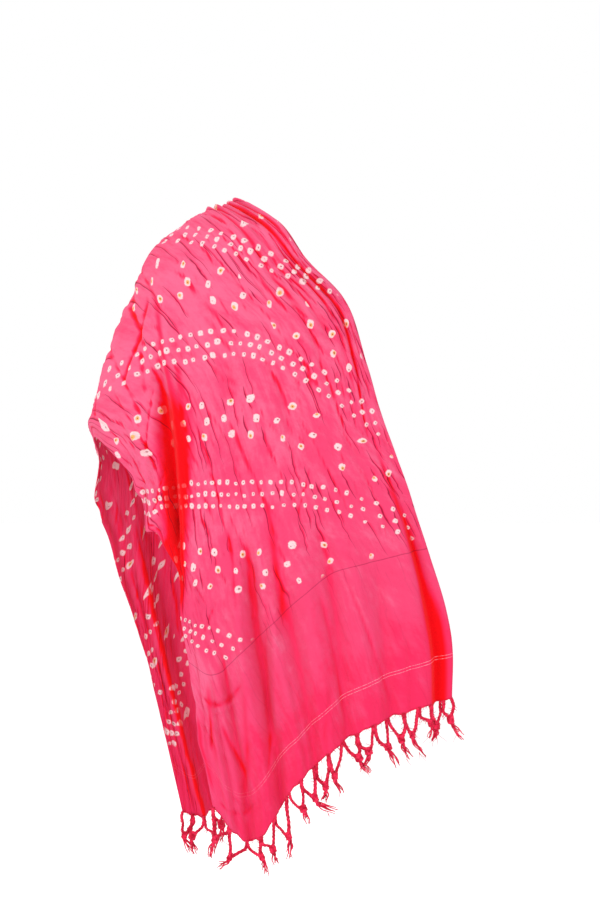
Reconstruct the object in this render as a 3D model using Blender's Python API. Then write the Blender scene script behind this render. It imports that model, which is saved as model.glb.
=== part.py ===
"""Dupatta stole, worn over the right shoulder of a standing figure.

One length of thin cotton with a knotted fringe at each end. It lies over the shoulder and the
upper arm, with pleats beside the neck. Its front end crosses the chest, and its back end hangs
behind the arm. Metres, +Z up, the wearer faces -Y, and the wearer's right arm is towards -X.
The origin is the underside of the cloth on top of the shoulder.

The cloth is a surface of two coordinates: `across`, 0 at the neck side's selvedge and 1 at the
arm side's, and `fall`, the distance in metres from the front end, over the shoulder, to the back.
"""

import collections
import math

import bmesh
import bpy
import numpy as np

# Driving dimensions, in metres
WALL = 0.0015  # thickness of the cloth
SEAM_GAP = 0.0004  # along the cloth, between two stretches and between an end and its fringe
CLOTH_WIDTH = 0.58  # the cut's width
FRONT_END = 0.0  # values of fall
FRONT_SEAM = 0.672
ARM_TROUGH = 0.57  # the deepest trough, between the arm and the chest
RIDGE = 0.82  # the top of the shoulder
BACK_SEAM = 0.985
BACK_END = 1.59

# The general figure that the cloth lies on: an oval that takes in the chest and both arms
FIGURE_CENTRE_X = 0.142
FIGURE_HALF_WIDTH = 0.315
CHEST_DEPTH = 0.125  # from the ridge of the shoulder forward to the cloth
BACK_DEPTH = 0.115  # and backward
ROUND_AT_NECK = 0.17  # how far below the ridge the cloth is at its full depth
ROUND_AT_SHOULDER = 0.11
ROUND_AT_ARM = 0.07

# Where each section's six places lie across the cloth
STATIONS = (0.0, 0.15, 0.35, 0.6, 0.85, 1.0)

# The cloth seen from the front, a row for each section across it
Section = collections.namedtuple(
    "Section",
    "fall, neck_x, neck_z, pleat_x, pleat_z, chest_x, chest_z, "
    "shoulder_x, shoulder_z, arm_x, arm_z, edge_x, edge_z",
)
SECTIONS = (
    Section(0.000, 0.383, -0.732, 0.315, -0.749, 0.231, -0.784, 0.150, -0.853, 0.075, -0.940, 0.023, -0.889),
    Section(0.065, 0.384, -0.664, 0.311, -0.684, 0.224, -0.720, 0.139, -0.794, 0.062, -0.869, 0.009, -0.818),
    Section(0.135, 0.374, -0.603, 0.302, -0.617, 0.214, -0.645, 0.121, -0.734, 0.042, -0.795, -0.004, -0.751),
    Section(0.225, 0.347, -0.516, 0.291, -0.530, 0.199, -0.556, 0.097, -0.645, 0.023, -0.706, -0.012, -0.684),
    Section(0.325, 0.315, -0.417, 0.266, -0.434, 0.176, -0.467, 0.074, -0.549, 0.002, -0.609, -0.024, -0.617),
    Section(0.430, 0.278, -0.317, 0.234, -0.333, 0.150, -0.370, 0.050, -0.452, -0.016, -0.527, -0.028, -0.547),
    Section(0.525, 0.252, -0.229, 0.211, -0.236, 0.124, -0.274, 0.024, -0.363, -0.037, -0.453, -0.056, -0.498),
    Section(0.610, 0.222, -0.141, 0.181, -0.162, 0.092, -0.192, -0.007, -0.288, -0.063, -0.393, -0.082, -0.450),
    Section(0.690, 0.164, -0.079, 0.127, -0.092, 0.047, -0.117, -0.045, -0.216, -0.094, -0.348, -0.099, -0.405),
    Section(0.760, 0.121, -0.020, 0.084, -0.031, 0.012, -0.053, -0.076, -0.160, -0.131, -0.311, -0.126, -0.372),
    Section(RIDGE, 0.059, 0.021, 0.032, 0.011, -0.022, -0.013, -0.106, -0.124, -0.163, -0.289, -0.162, -0.343),
    Section(0.880, 0.069, -0.006, 0.041, -0.018, -0.013, -0.046, -0.097, -0.167, -0.151, -0.335, -0.158, -0.378),
    Section(0.970, 0.094, -0.074, 0.064, -0.096, 0.008, -0.133, -0.074, -0.253, -0.134, -0.394, -0.165, -0.439),
    Section(1.100, 0.130, -0.196, 0.094, -0.228, 0.035, -0.268, -0.048, -0.379, -0.110, -0.488, -0.144, -0.502),
    Section(1.230, 0.167, -0.331, 0.125, -0.363, 0.064, -0.403, -0.020, -0.505, -0.085, -0.599, -0.113, -0.606),
    Section(1.360, 0.210, -0.466, 0.164, -0.498, 0.097, -0.538, 0.008, -0.632, -0.057, -0.718, -0.085, -0.706),
    Section(1.490, 0.252, -0.585, 0.202, -0.625, 0.130, -0.673, 0.038, -0.759, -0.028, -0.837, -0.059, -0.813),
    Section(BACK_END, 0.289, -0.680, 0.233, -0.728, 0.157, -0.784, 0.064, -0.863, 0.000, -0.936, -0.033, -0.929),
)

# The largest folds. Each runs from one value of fall to another and drifts across the cloth on the
# way. Its half width and height are in metres, and a negative height is a trough.
Fold = collections.namedtuple("Fold", "start, end, across_at_start, across_at_end, half_width, height")
FRONT_FOLDS = (
    Fold(-0.10, 0.36, 0.045, 0.045, 0.010, -0.012),
    Fold(-0.10, 0.42, 0.100, 0.090, 0.020, 0.006),
    Fold(-0.12, 0.26, 0.205, 0.200, 0.014, -0.009),
    Fold(-0.12, 0.33, 0.285, 0.270, 0.018, 0.008),
    Fold(-0.12, 0.36, 0.370, 0.340, 0.014, -0.011),
    Fold(-0.12, 0.38, 0.445, 0.420, 0.016, 0.009),
    Fold(-0.12, 0.34, 0.520, 0.490, 0.013, -0.010),
    Fold(-0.12, 0.40, 0.600, 0.530, 0.015, 0.010),
    Fold(-0.12, 0.42, 0.715, 0.560, 0.014, -0.018),
    Fold(-0.12, 0.38, 0.790, 0.640, 0.016, 0.012),
    Fold(-0.12, 0.30, 0.865, 0.760, 0.012, -0.015),
    Fold(-0.12, 0.24, 0.935, 0.880, 0.011, 0.010),
    Fold(0.42, 0.72, 0.960, 0.640, 0.024, -0.028),
    Fold(0.46, 0.76, 0.860, 0.520, 0.016, 0.012),
    Fold(0.50, 0.78, 1.000, 0.760, 0.018, 0.008),
    Fold(0.66, 0.86, 0.760, 0.560, 0.014, -0.006),
    Fold(0.70, 0.94, 0.480, 0.480, 0.045, 0.010),
    Fold(0.74, 0.92, 0.930, 0.930, 0.022, 0.007),
    Fold(0.40, 0.72, 0.560, 0.420, 0.020, -0.006),
    Fold(0.40, 0.74, 0.400, 0.350, 0.018, 0.005),
)
BACK_FOLDS = (
    Fold(0.92, 1.75, 0.050, 0.050, 0.014, -0.010),
    Fold(0.96, 1.75, 0.160, 0.170, 0.017, 0.011),
    Fold(1.00, 1.75, 0.260, 0.270, 0.015, -0.013),
    Fold(0.92, 1.75, 0.345, 0.370, 0.017, 0.011),
    Fold(1.02, 1.75, 0.440, 0.470, 0.015, -0.014),
    Fold(0.94, 1.75, 0.530, 0.570, 0.017, 0.012),
    Fold(0.88, 1.75, 0.640, 0.670, 0.016, -0.018),
    Fold(0.98, 1.75, 0.760, 0.760, 0.017, 0.011),
    Fold(1.04, 1.75, 0.840, 0.850, 0.014, -0.013),
    Fold(0.90, 1.30, 0.930, 0.960, 0.014, 0.008),
)

# The pleats that gather the neck side over the shoulder
PLEATS = 5
PLEAT_FIRST = 0.022  # the first pleat's place across the cloth
PLEAT_PITCH = 0.050
PLEAT_HEIGHT = 0.0065
PLEAT_HALF_WIDTH = 0.0075
PLEAT_FRONT_REACH = 0.40  # how far each pleat runs down from the ridge before it dies out
PLEAT_BACK_REACH = 0.24
PLEAT_REACH_VARIES = 0.09

# The mesh's columns, closer where the cloth is folded closer: places across, and steps between
COLUMN_RUNS = ((0.0, 0.31, 22), (0.31, 0.52, 7), (0.52, 0.96, 21), (0.96, 1.0, 2))
FRONT_ROWS = 28
SHOULDER_ROWS = 13
BACK_ROWS = 14

# The fringe
FRINGE_STRIP = 0.007  # the height of the strip that the strands are rooted in
ROOT_SHARE = 0.75  # where in the strip the strands start
TASSELS = 15  # at each end
LEG_RADIUS = 0.0016
KNOT_RADIUS = 0.0036
TAIL_RADIUS = 0.0030
LEG_DROP = 0.033  # from the strip to the knot
TAIL_LENGTH = 0.034
LEG_SPREAD = 0.42  # half the distance between a tassel's two roots, in tassel pitches
FRINGE_SWING = 0.6  # how far the tassels stand square to the edge, rather than hang plumb
FRINGE_SEED = 7

CORAL = (0.90, 0.055, 0.16, 1.0)
DEEP_CORAL = (0.72, 0.03, 0.09, 1.0)
COTTON_ROUGHNESS = 0.9


def tangents(knots, values):
    """Slopes at the knots of a smooth curve through the values."""
    slopes = np.diff(values, axis=0) / np.diff(knots)[:, None, None]
    weights = np.diff(knots)[:, None, None]
    inner = (slopes[:-1] * weights[1:] + slopes[1:] * weights[:-1]) / (weights[:-1] + weights[1:])
    return np.concatenate([slopes[:1], inner, slopes[-1:]])


def smooth(knots, values, places):
    """The smooth curve through values (knots, columns, parts) at each column's own place."""
    knots = np.asarray(knots, float)
    span = np.clip(np.searchsorted(knots, places) - 1, 0, len(knots) - 2)
    width = knots[span + 1] - knots[span]
    t = ((places - knots[span]) / width)[:, None]
    column = np.arange(values.shape[1]) if values.shape[1] == len(places) else 0
    slopes = tangents(knots, values)
    low, high = values[span, column], values[span + 1, column]
    out, back = slopes[span, column] * width[:, None], slopes[span + 1, column] * width[:, None]
    return (
        low * (1 + 2 * t) * (1 - t) ** 2
        + out * t * (1 - t) ** 2
        + high * t**2 * (3 - 2 * t)
        - back * t**2 * (1 - t)
    )


def depth(x, z, ridge_x, ridge_z, across, side):
    """How far the cloth lies before (side -1) or behind (side 1) the ridge of the shoulder."""
    oval = math.sqrt(max(0.0, 1 - ((x - FIGURE_CENTRE_X) / FIGURE_HALF_WIDTH) ** 2))
    rounding = np.interp(across, (0, 0.35, 0.6, 1), (ROUND_AT_NECK, ROUND_AT_SHOULDER, 0.085, ROUND_AT_ARM))
    below = min(1.0, math.hypot(x - ridge_x, z - ridge_z) / rounding)
    return side * (CHEST_DEPTH if side < 0 else BACK_DEPTH) * oval * math.sqrt(1 - (1 - below) ** 2)


def control_net():
    """The sections' places in space, as an array of sections, stations and x, y, z."""
    flat = np.array([section[1:] for section in SECTIONS]).reshape(len(SECTIONS), len(STATIONS), 2)
    ridge = flat[[section.fall for section in SECTIONS].index(RIDGE)]
    net = np.zeros((len(SECTIONS), len(STATIONS), 3))
    for i, section in enumerate(SECTIONS):
        side = -1 if section.fall < RIDGE else 1
        for k, across in enumerate(STATIONS):
            x, z = flat[i, k]
            net[i, k] = x, depth(x, z, *ridge[k], across, side), z
    return net


NET = control_net()
FALLS = np.array([section.fall for section in SECTIONS])


def sheet(across, fall):
    """Points of the cloth without its folds, for two arrays of the same length."""
    lines = smooth(FALLS, NET.reshape(len(FALLS), -1)[:, None, :], fall).reshape(-1, len(STATIONS), 3)
    return smooth(STATIONS, lines.transpose(1, 0, 2), across)


def bump(distance, half_width):
    return np.exp(-((distance / half_width) ** 2))


def ramp(t):
    t = np.clip(t, 0, 1)
    return t * t * (3 - 2 * t)


def fold_height(across, fall):
    """How far the folds stand out of the plain sheet."""
    height = np.zeros(len(across))
    for fold in FRONT_FOLDS + BACK_FOLDS:
        share = (fall - fold.start) / (fold.end - fold.start)
        centre = fold.across_at_start + (fold.across_at_end - fold.across_at_start) * np.clip(share, 0, 1)
        fade = ramp(share * 3.5) * ramp((1 - share) * 3.5)
        height += fold.height * fade * bump((across - centre) * CLOTH_WIDTH, fold.half_width)
    for i in range(PLEATS):
        centre = PLEAT_FIRST + i * PLEAT_PITCH + 0.006 * math.sin(2.3 * i)
        reach = PLEAT_REACH_VARIES * math.sin(1.7 * i + 0.6)
        down = np.where(
            fall < RIDGE,
            (RIDGE - fall) / (PLEAT_FRONT_REACH + reach),
            (fall - RIDGE) / (PLEAT_BACK_REACH + reach / 2),
        )
        distance = (across - centre) * CLOTH_WIDTH
        height += PLEAT_HEIGHT * ramp((1 - down) * 1.6) * bump(distance, PLEAT_HALF_WIDTH)
    return height


def normals_of(surface, across, fall, step):
    """Unit normals of a surface, pointing away from the figure."""
    over = surface(across + step, fall) - surface(across - step, fall)
    along = surface(across, fall + step) - surface(across, fall - step)
    normal = np.cross(along, over)
    return normal / np.linalg.norm(normal, axis=1)[:, None]


def cloth(across, fall):
    """Points of the folded cloth's middle surface, for two arrays of the same length."""
    outward = normals_of(sheet, across, fall, 0.004)
    return sheet(across, fall) + outward * fold_height(across, fall)[:, None]


def cloth_and_normals(across, fall):
    return cloth(across, fall), normals_of(cloth, across, fall, 0.002)


def columns():
    places = [np.linspace(low, high, steps, endpoint=False) for low, high, steps in COLUMN_RUNS]
    return np.concatenate([*places, [1.0]])


def rows(start, end, count):
    """Values of fall, closer together near the ridge and at the trough beside the arm."""
    even = np.linspace(start, end, 400)
    weight = 1 + 2.6 * bump(even - RIDGE, 0.045) + 0.9 * bump(even - ARM_TROUGH, 0.09)
    reached = np.cumsum(weight) - weight[0]
    return np.interp(np.linspace(0, reached[-1], count + 1), reached, even)


def material(name, colour):
    made = bpy.data.materials.new(name)
    made.use_nodes = True
    shader = made.node_tree.nodes["Principled BSDF"]
    shader.inputs["Base Color"].default_value = colour
    shader.inputs["Roughness"].default_value = COTTON_ROUGHNESS
    shader.inputs["Metallic"].default_value = 0.0
    return made


def add_object(name, mesh, collection, colour):
    made = bpy.data.objects.new(name, mesh)
    made.data.materials.append(material(name, colour))
    collection.objects.link(made)
    return made


def wall_mesh(name, across, fall):
    """A closed wall of cloth over a grid of places. Its rims follow the whole cloth's own normals, so
    that two stretches part evenly at their seam. Both its faces are halved along the same diagonals,
    those that lie closer to the cloth, so that folds stay smooth and it is as thick where it twists.
    A Solidify of each stretch gives neither.
    """
    grid_fall, grid_across = np.meshgrid(fall, across, indexing="ij")
    points, outward = cloth_and_normals(grid_across.ravel(), grid_fall.ravel())
    width, count = len(across), len(points)
    at_middle = cloth(
        (grid_across[:-1, :-1] + grid_across[:-1, 1:]).ravel() / 2,
        (grid_fall[:-1, :-1] + grid_fall[1:, :-1]).ravel() / 2,
    ).reshape(len(fall) - 1, width - 1, 3)
    mesh = bpy.data.meshes.new(name)
    form = bmesh.new()
    outer = [form.verts.new(point) for point in points + outward * WALL / 2]
    inner = [form.verts.new(point) for point in points - outward * WALL / 2]
    for i in range(len(fall) - 1):
        for k in range(width - 1):
            a = i * width + k
            b, c, d = a + 1, a + width + 1, a + width
            off_ac = np.linalg.norm((points[a] + points[c]) / 2 - at_middle[i, k])
            off_bd = np.linalg.norm((points[b] + points[d]) / 2 - at_middle[i, k])
            halves = ((a, b, c), (a, c, d)) if off_ac < off_bd else ((a, b, d), (b, c, d))
            for e, f, g in halves:
                form.faces.new((outer[g], outer[f], outer[e]))
                form.faces.new((inner[e], inner[f], inner[g]))
    rim = list(range(width - 1))
    rim += range(width - 1, count - 1, width)
    rim += range(count - 1, count - width, -1)
    rim += range(count - width, 0, -width)
    for a, b in zip(rim, rim[1:] + rim[:1]):
        # The rim twists, and the same way of halving it on both sides of a seam keeps the gap even
        first, second = ((inner[a], outer[a], outer[b]), (inner[b], inner[a], outer[b]))
        if a < b:
            first, second = ((inner[b], outer[a], outer[b]), (inner[b], inner[a], outer[a]))
        form.faces.new(first)
        form.faces.new(second)
    form.to_mesh(mesh)
    form.free()
    mesh.shade_smooth()
    return mesh


def stretch(name, start, end, count, collection):
    """One stretch of the cloth between two values of fall."""
    mesh = wall_mesh(name, columns(), rows(start, end, count))
    return add_object(name, mesh, collection, CORAL)


def add_rod(form, path, radii, sides):
    """A closed rod through the points of a path, with a radius at each."""
    rings = []
    turned = np.array([0.0, 1.0, 0.0])
    for i, (point, radius) in enumerate(zip(path, radii)):
        ahead = path[min(i + 1, len(path) - 1)] - path[max(i - 1, 0)]
        ahead = ahead / np.linalg.norm(ahead)
        side = np.cross(turned, ahead)
        side = side / np.linalg.norm(side)
        other = np.cross(ahead, side)
        angles = [2 * math.pi * k / sides for k in range(sides)]
        rings.append(
            [form.verts.new(point + radius * (math.cos(a) * side + math.sin(a) * other)) for a in angles]
        )
    for ring, following in zip(rings, rings[1:]):
        for k in range(sides):
            n = (k + 1) % sides
            form.faces.new((ring[k], ring[n], following[n], following[k]))
    form.faces.new(rings[0][::-1])
    form.faces.new(rings[-1])


def tassel(form, roots, lean, rng):
    """Two strands that meet in a knot, with a tail below it."""
    plumb = np.array([0.0, 0.0, -1.0])
    down = plumb + FRINGE_SWING * lean + np.array([*rng.normal(0, 0.10, 2), 0])
    down = down / np.linalg.norm(down)
    low = min(roots[0][2], roots[1][2])
    middle = (roots[0] + roots[1]) / 2
    middle[2] = low
    knot = middle + down * LEG_DROP * rng.uniform(0.85, 1.15)
    for root in roots:
        add_rod(form, [root, knot], (LEG_RADIUS, LEG_RADIUS), 3)
    ends = [knot - down * KNOT_RADIUS * 1.2, knot]
    tail_down = down + np.array([*rng.normal(0, 0.14, 2), 0])
    tail_down = tail_down / np.linalg.norm(tail_down)
    length = TAIL_LENGTH * rng.uniform(0.8, 1.2)
    ends += [knot + down * KNOT_RADIUS + tail_down * length * share for share in (0.05, 0.6, 1.0)]
    radii = (0.60 * KNOT_RADIUS, KNOT_RADIUS, 0.5 * KNOT_RADIUS, TAIL_RADIUS, 0.3 * TAIL_RADIUS)
    add_rod(form, ends, radii, 4)


def fringe(name, end, outward, collection, cutters):
    """A strip along an end of the cloth, and the tassels rooted in it. outward is -1 or 1 in fall."""
    rng = np.random.default_rng(FRINGE_SEED)
    across = columns()
    edges = [end + outward * (SEAM_GAP + share * FRINGE_STRIP) for share in (0, 1)]
    strip = add_object(name, wall_mesh(name, across, sorted(edges)), collection, DEEP_CORAL)

    form = bmesh.new()
    line = cloth(across, np.full(len(across), end + outward * (SEAM_GAP + ROOT_SHARE * FRINGE_STRIP)))
    over = np.array([0.0, float(outward), 0.0])
    for i in range(TASSELS):
        middle = (i + 0.5) / TASSELS
        places = (middle - LEG_SPREAD / TASSELS, middle + LEG_SPREAD / TASSELS)
        roots = [np.array([np.interp(place, across, line[:, k]) for k in range(3)]) for place in places]
        away = np.cross(roots[1] - roots[0], over) * outward
        tassel(form, roots, away / np.linalg.norm(away), rng)
    mesh = bpy.data.meshes.new(name + "_strands")
    bmesh.ops.recalc_face_normals(form, faces=form.faces)
    form.to_mesh(mesh)
    form.free()
    strands = bpy.data.objects.new(name + "_strands", mesh)
    strands.hide_render = True
    strands.display_type = "WIRE"
    cutters.objects.link(strands)
    joined = strip.modifiers.new("strands", "BOOLEAN")
    joined.operation = "UNION"
    joined.object = strands
    joined.use_self = True


def build():
    for old in list(bpy.data.objects):
        bpy.data.objects.remove(old)
    collection = bpy.data.collections.new("dupatta_stole")
    cutters = bpy.data.collections.new("joined_shapes")
    bpy.context.scene.collection.children.link(collection)
    bpy.context.scene.collection.children.link(cutters)

    half_gap = SEAM_GAP / 2
    stretch("front_fall", FRONT_END, FRONT_SEAM - half_gap, FRONT_ROWS, collection)
    stretch("shoulder_drape", FRONT_SEAM + half_gap, BACK_SEAM - half_gap, SHOULDER_ROWS, collection)
    stretch("back_fall", BACK_SEAM + half_gap, BACK_END, BACK_ROWS, collection)
    fringe("front_fringe", FRONT_END, -1, collection, cutters)
    fringe("back_fringe", BACK_END, 1, collection, cutters)


build()
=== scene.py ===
"""Looks of the dupatta stole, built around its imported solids.

The cloth is one thin shell over the same surface that the solids follow: `across` runs from the
neck side's selvedge (0) to the arm side's (1), and `fall` in metres from the front end over the
shoulder to the back end. Its tie-dyed dots are drawn by rule in the cloth's own coordinates.
"""

import functools
import math

import bmesh
import bpy
import numpy as np
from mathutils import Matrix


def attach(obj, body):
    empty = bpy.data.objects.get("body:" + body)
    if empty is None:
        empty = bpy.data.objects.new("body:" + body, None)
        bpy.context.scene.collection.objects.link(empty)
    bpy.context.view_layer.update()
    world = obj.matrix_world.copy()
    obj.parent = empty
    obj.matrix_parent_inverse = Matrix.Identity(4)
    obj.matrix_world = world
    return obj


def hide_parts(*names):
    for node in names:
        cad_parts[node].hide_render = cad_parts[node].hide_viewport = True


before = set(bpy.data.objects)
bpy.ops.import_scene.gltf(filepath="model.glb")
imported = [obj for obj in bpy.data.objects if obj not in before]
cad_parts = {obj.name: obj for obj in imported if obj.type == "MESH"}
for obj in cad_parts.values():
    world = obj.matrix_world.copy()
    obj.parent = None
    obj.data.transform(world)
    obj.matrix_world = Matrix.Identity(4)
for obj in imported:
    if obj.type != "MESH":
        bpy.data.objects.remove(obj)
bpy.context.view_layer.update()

# ---- sizes, in metres

THICKNESS = 0.0007  # of the shown cloth
CUT = (0.58, 1.66)  # the cloth as it was cut, width and length, without the fringe
RIDGE = 0.82  # the top of the shoulder, as a value of fall
BACK_END = 1.59
HEM_REACH = 0.0062  # the cloth's ends reach this far over the strips that carry the fringe

FIGURE_CENTRE_X = 0.142
FIGURE_HALF_WIDTH = 0.315
CHEST_DEPTH = 0.125
BACK_DEPTH = 0.115
# How far the cloth rounds over the shoulder before it hangs, at four places across
ROUNDING_AT = (0, 0.35, 0.6, 1)
ROUNDING = (0.17, 0.11, 0.085, 0.07)

# Where the cloth hangs: for each fall, x and z in millimetres at each of six stations across
STATIONS = (0.0, 0.15, 0.35, 0.6, 0.85, 1.0)
SECTIONS = {
    0.0: (383, -732, 315, -749, 231, -784, 150, -853, 75, -940, 23, -889),
    0.065: (384, -664, 311, -684, 224, -720, 139, -794, 62, -869, 9, -818),
    0.135: (374, -603, 302, -617, 214, -645, 121, -734, 42, -795, -4, -751),
    0.225: (347, -516, 291, -530, 199, -556, 97, -645, 23, -706, -12, -684),
    0.325: (315, -417, 266, -434, 176, -467, 74, -549, 2, -609, -24, -617),
    0.43: (278, -317, 234, -333, 150, -370, 50, -452, -16, -527, -28, -547),
    0.525: (252, -229, 211, -236, 124, -274, 24, -363, -37, -453, -56, -498),
    0.61: (222, -141, 181, -162, 92, -192, -7, -288, -63, -393, -82, -450),
    0.69: (164, -79, 127, -92, 47, -117, -45, -216, -94, -348, -99, -405),
    0.76: (121, -20, 84, -31, 12, -53, -76, -160, -131, -311, -126, -372),
    RIDGE: (59, 21, 32, 11, -22, -13, -106, -124, -163, -289, -162, -343),
    0.88: (69, -6, 41, -18, -13, -46, -97, -167, -151, -335, -158, -378),
    0.97: (94, -74, 64, -96, 8, -133, -74, -253, -134, -394, -165, -439),
    1.1: (130, -196, 94, -228, 35, -268, -48, -379, -110, -488, -144, -502),
    1.23: (167, -331, 125, -363, 64, -403, -20, -505, -85, -599, -113, -606),
    1.36: (210, -466, 164, -498, 97, -538, 8, -632, -57, -718, -85, -706),
    1.49: (252, -585, 202, -625, 130, -673, 38, -759, -28, -837, -59, -813),
    BACK_END: (289, -680, 233, -728, 157, -784, 64, -863, 0, -936, -33, -929),
}

# The tables of folds and creases are in whole numbers. A fold runs along the cloth: the falls of
# its start and end in millimetres, its places across there in thousandths of the width, and its
# half width and height in tenths of a millimetre. A slant runs across the cloth: place across and
# fall of its start, the same of its end, and its half width and height. In a table of shades the
# last figure is not a height but how much painted shade it adds to the colour, in hundredths.
TENTHS_OF_MM = 10000
HUNDREDTHS = 100
FRONT_FOLDS = (
    (-100, 360, 45, 45, 100, -120), (-100, 420, 100, 90, 200, 60),
    (-120, 260, 205, 200, 140, -90), (-120, 330, 285, 270, 180, 80),
    (-120, 360, 370, 340, 140, -110), (-120, 380, 445, 420, 160, 90),
    (-120, 340, 520, 490, 130, -100), (-120, 400, 600, 530, 150, 100),
    (-120, 420, 715, 560, 140, -180), (-120, 380, 790, 640, 160, 120),
    (-120, 300, 865, 760, 120, -150), (-120, 240, 935, 880, 110, 100),
    (420, 720, 960, 640, 240, -280), (460, 760, 860, 520, 160, 120),
    (500, 780, 1000, 760, 180, 80), (660, 860, 760, 560, 140, -60),
    (700, 940, 480, 480, 450, 100), (740, 920, 930, 930, 220, 70),
    (400, 720, 560, 420, 200, -60), (400, 740, 400, 350, 180, 50),
)
BACK_FOLDS = (
    (920, 1750, 50, 50, 140, -100), (960, 1750, 160, 170, 170, 110),
    (1000, 1750, 260, 270, 150, -130), (920, 1750, 345, 370, 170, 110),
    (1020, 1750, 440, 470, 150, -140), (940, 1750, 530, 570, 170, 120),
    (880, 1750, 640, 670, 160, -180), (980, 1750, 760, 760, 170, 110),
    (1040, 1750, 840, 850, 140, -130), (900, 1300, 930, 960, 140, 80),
)

PLEATS = 5
PLEAT_FIRST = 0.022
PLEAT_PITCH = 0.050
PLEAT_HEIGHT = 0.0065
PLEAT_HALF_WIDTH = 0.0075
PLEAT_FRONT_REACH = 0.40
PLEAT_BACK_REACH = 0.24
PLEAT_REACH_VARIES = 0.09

# Smaller creases laid over the large folds
CREASES = (
    # the roll of fine pleats along the neck side
    (440, 1020, 18, 50, 32, -30), (500, 980, 52, 88, 30, -34), (560, 940, 90, 128, 34, -40),
    (660, 1000, 105, 165, 50, -50), (620, 900, 150, 205, 30, -24), (400, 660, 60, 78, 30, -20),
    # the chest, from the shoulder down
    (580, 800, 215, 300, 34, -22), (520, 720, 260, 330, 30, -18), (460, 700, 330, 400, 40, -22),
    (400, 580, 170, 225, 32, -24), (380, 560, 110, 150, 30, -20), (300, 500, 240, 310, 36, -22),
    (320, 520, 380, 450, 34, -18), (340, 600, 470, 540, 50, -26), (280, 460, 560, 620, 40, -22),
    (360, 620, 640, 620, 45, -26), (440, 660, 600, 560, 35, 18),
    # the arm, from the shoulder's point to the elbow
    (620, 860, 700, 610, 46, -30), (660, 880, 790, 700, 40, -26), (580, 800, 860, 780, 44, -30),
    (620, 840, 935, 890, 36, -26), (540, 780, 955, 850, 38, 20), (720, 920, 560, 520, 40, -22),
    (500, 660, 985, 960, 40, -30), (410, 700, 905, 612, 85, -60), (440, 660, 845, 620, 50, 30),
    # the valley beside the neck side's edge, and the soft folds over the plain end
    (-80, 450, 36, 84, 110, -30), (385, 640, 106, 36, 36, -32), (440, 620, 32, 20, 34, -28),
    (450, 620, 88, 56, 34, -30), (600, 900, 46, 122, 60, -55), (190, 410, 525, 472, 80, -30),
    (270, 430, 672, 615, 50, -24),
    # the plain end, soft folds down to the hem
    (-60, 160, 250, 235, 60, 26), (-10, 238, 364, 393, 46, -34), (-30, 238, 180, 314, 44, -34),
    (40, 330, 718, 505, 90, -44), (50, 310, 680, 478, 70, 28), (-60, 220, 480, 455, 60, 26),
    (-60, 180, 560, 540, 50, -30), (-60, 200, 760, 700, 50, -34), (-60, 220, 840, 790, 46, 26),
    (-60, 260, 905, 850, 44, -34), (20, 300, 970, 930, 40, -26), (-60, 140, 140, 130, 56, -30),
    # the back
    (900, 1200, 210, 190, 46, -26), (940, 1300, 310, 300, 44, -26),
    (900, 1240, 500, 470, 46, -28), (880, 1200, 600, 560, 44, -26),
    (900, 1160, 730, 700, 46, -28), (880, 1120, 820, 800, 40, -24),
    (1200, 1660, 120, 130, 56, -30), (1240, 1660, 410, 420, 56, 28),
    (1200, 1660, 710, 720, 56, -28), (1260, 1660, 900, 910, 50, -26),
)

# Painted shade: where the colour is deepened more than the folds' own hollows make it
SHADES = (
    (600, 780, 680, 540, 80, 45), (-80, 310, 34, 58, 110, 60), (-80, 450, 34, 83, 75, 70),
    (385, 640, 106, 36, 40, 26), (450, 620, 88, 56, 38, 24), (-120, 200, 44, 46, 165, 125),
    (480, 680, 64, 48, 60, 60), (620, 880, 46, 118, 75, 90), (190, 410, 525, 472, 120, 34),
    (0, 245, 366, 394, 60, 26), (-20, 240, 182, 315, 52, 24), (40, 340, 716, 503, 150, 14),
    (270, 430, 672, 615, 80, 24), (50, 210, 805, 690, 90, 32), (-30, 110, 470, 420, 90, 26),
    (60, 240, 930, 875, 90, 40), (280, 600, 985, 990, 90, 45),
)
SLANTS = (
    (545, 775, 790, 750, 60, -50), (660, 700, 900, 640, 50, -32), (780, 600, 985, 560, 50, -34),
    (820, 520, 980, 470, 45, -30), (700, 840, 930, 800, 50, -28), (720, 330, 900, 280, 45, -22),
    (300, 420, 420, 330, 40, -18), (860, 100, 990, 130, 50, -26), (740, 30, 960, 60, 45, -22),
    (960, 180, 690, 197, 40, -36), (935, 173, 735, 186, 32, 22), (897, 166, 945, 90, 40, -34),
    (850, 162, 800, 80, 46, -36), (740, 130, 840, 55, 60, -24), (820, 70, 860, 12, 36, -30),
    (660, 105, 710, 60, 50, -30), (980, 12, 770, 45, 34, -30), (930, 50, 800, 52, 34, 24),
    (340, 36, 300, -4, 40, -30), (400, 90, 485, 4, 70, -30), (560, 1020, 800, 960, 50, -30),
    (300, 1220, 480, 1080, 90, -18),
)
SLANT_SHADES = (
    (630, 668, 1080, 346, 400, 210),
    # the crushed corner at the arm side's end
    (970, 182, 680, 198, 60, 26), (900, 170, 950, 85, 50, 40), (855, 166, 795, 76, 70, 50),
    (990, 140, 984, 10, 60, 60), (740, 132, 860, 45, 90, 26), (660, 110, 720, 50, 70, 40),
    (400, 95, 490, -5, 110, 16), (985, 10, 760, 46, 45, 22), (960, 520, 1010, 420, 130, 80),
)
UNDERSIDE_SHADE = 0.30  # painted shade added on the cloth's inner face, inside the drape
# How much painted shade the folds' hollows give, along the fall
HOLLOW_SHADE_AT = (0.18, 0.42)
HOLLOW_SHADE = (0.34, 1.0)
# How pale the cloth's colour is along the fall, from 0 to 1
TONE_AT = (0.0, 0.08, 0.16, 0.30, 0.50, 0.70, 0.90, 1.30, 1.45, 1.59)
TONE = (-0.08, 0.06, 0.46, 0.52, 0.66, 0.86, 0.72, 0.60, 0.40, 0.05)

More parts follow.
